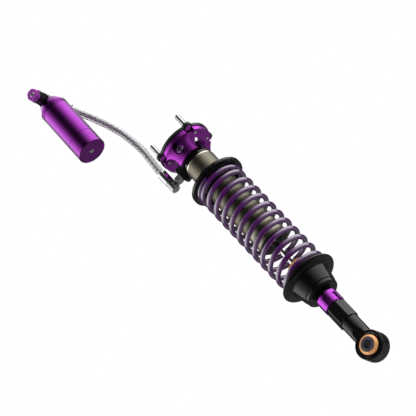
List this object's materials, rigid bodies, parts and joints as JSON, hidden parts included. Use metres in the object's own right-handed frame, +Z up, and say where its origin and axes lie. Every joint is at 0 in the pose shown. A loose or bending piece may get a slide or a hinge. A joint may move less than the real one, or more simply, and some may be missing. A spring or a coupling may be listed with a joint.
{
  "type": "coilover",
  "caption": "Coilover damper with a studded top mount, height-adjusting spring seat, spherical bearings at both ends and a remote gas reservoir on a braided hose.",
  "frame": {"origin": "centre of the mounting plane on top of the stud plate", "axes": "+Z up along the damper's axis, out of the plate the way the studs point; +Y along the cross bolt and the lower bearing; the hose leaves the damper towards -X"},
  "size_m": [0.207, 0.1605, 0.8853],
  "materials": {
    "plate_black": "black anodised, satin",
    "anodised_purple": "anodised purple, turned",
    "stud_zinc": "zinc plated",
    "screw_steel": "bright steel",
    "bolt_lilac": "plated steel with a violet cast",
    "bearing_steel": "ground and polished",
    "cap_black": "black anodised, semi-gloss",
    "rubber_black": "matte",
    "fitting_steel": "plated, bright",
    "adapter_grey": "satin nickel",
    "hose_braid": "steel braid under a clear sleeve",
    "tube_champagne": "anodised champagne, threaded",
    "spring_violet": "powder coated, satin",
    "rod_chrome": "hard chrome, ground",
    "piston_alloy": "machined",
    "band_green": "filled PTFE",
    "bump_orange": "polyurethane foam, satin",
    "perch_black": "black anodised, satin",
    "end_black": "black, semi-gloss",
    "race_dark": "dark bearing steel",
    "spacer_orange": "anodised orange, turned",
    "sleeve_dark": "dark steel, turned"
  },
  "bodies": {
    "top_mount": {"stud_plate": "plate_black", "mount_body": "anodised_purple", "mount_studs": "stud_zinc", "plate_screws": "screw_steel", "pivot_bolt": "bolt_lilac", "pivot_nut": "screw_steel"},
    "upper_bearing": {"upper_ball": "bearing_steel", "upper_spacers": "adapter_grey"},
    "damper": {"head_cap": "cap_black", "upper_race": "bearing_steel", "head_oring": "rubber_black", "port_adapter": "adapter_grey", "hose_elbow": "fitting_steel", "elbow_ferrule": "fitting_steel", "hose": "hose_braid", "damper_tube": "tube_champagne", "rod_guide": "cap_black", "rod_seal": "rubber_black", "rod_wiper": "rubber_black", "coil_spring": "spring_violet", "reservoir_cap": "anodised_purple", "gas_valve": "screw_steel", "reservoir_body": "anodised_purple", "reservoir_housing": "cap_black", "reservoir_adapter": "adapter_grey", "reservoir_elbow": "fitting_steel", "reservoir_ferrule": "fitting_steel"},
    "seat_slider": {"seat_washer": "plate_black"},
    "seat_nut": {"seat_ring": "perch_black"},
    "shaft": {"piston_rod": "rod_chrome", "piston": "piston_alloy", "piston_band": "band_green", "compression_shims": "screw_steel", "rebound_shims": "screw_steel", "piston_nut": "screw_steel", "bump_stop": "bump_orange", "lower_perch": "perch_black", "perch_collar": "perch_black", "lock_nut": "anodised_purple", "rod_end": "end_black", "lower_race": "race_dark", "bearing_rings": "screw_steel"},
    "lower_bearing": {"lower_ball": "bearing_steel", "lower_spacers": "spacer_orange"},
    "bolt_sleeve": {"lower_sleeve": "sleeve_dark"},
    "gas_piston": {"floating_piston": "piston_alloy", "floating_seal": "rubber_black"},
    "adjuster": {"adjuster_knob": "anodised_purple", "adjuster_screw": "screw_steel"}
  },
  "joints": [
    {"name": "damper_swing", "type": "hinge", "parent": "top_mount", "child": "upper_bearing", "pos_m": [0, 0, -0.026], "axis": [0, 1, 0], "range_deg": [-6, 6]},
    {"name": "damper_tilt", "type": "hinge", "parent": "upper_bearing", "child": "damper", "pos_m": [0, 0, -0.026], "axis": [1, 0, 0], "range_deg": [-3, 3]},
    {"name": "seat_lift", "type": "slide", "parent": "damper", "child": "seat_slider", "axis": [0, 0, 1], "range_m": [0, 0.008]},
    {"name": "seat_turn", "type": "hinge", "parent": "seat_slider", "child": "seat_nut", "pos_m": [0, 0, -0.108], "axis": [0, 0, 1], "range_deg": [0, 1440]},
    {"name": "shaft_stroke", "type": "slide", "parent": "damper", "child": "shaft", "axis": [0, 0, 1], "range_m": [0, 0.074], "stiffness_N_per_m": 11500, "deforming": ["coil_spring", "bump_stop"]},
    {"name": "gas_slide", "type": "slide", "parent": "damper", "child": "gas_piston", "axis": [0, 0, 1], "range_m": [-0.006, 0]},
    {"name": "adjuster_turn", "type": "hinge", "parent": "damper", "child": "adjuster", "pos_m": [-0.123, -0.098, 0.272], "axis": [0, -1, 0], "range_deg": [0, 300]},
    {"name": "lower_tilt", "type": "hinge", "parent": "shaft", "child": "lower_bearing", "pos_m": [0, 0, -0.56912], "axis": [1, 0, 0], "range_deg": [-6, 6]},
    {"name": "sleeve_turn", "type": "hinge", "parent": "lower_bearing", "child": "bolt_sleeve", "pos_m": [0, 0, -0.56912], "axis": [0, 1, 0], "continuous": true}
  ],
  "couplings": [
    {"joint": "seat_lift", "follows": "seat_turn", "m_per_rad": 0.0003183},
    {"joint": "gas_slide", "follows": "shaft_stroke", "ratio": -0.0754}
  ]
}
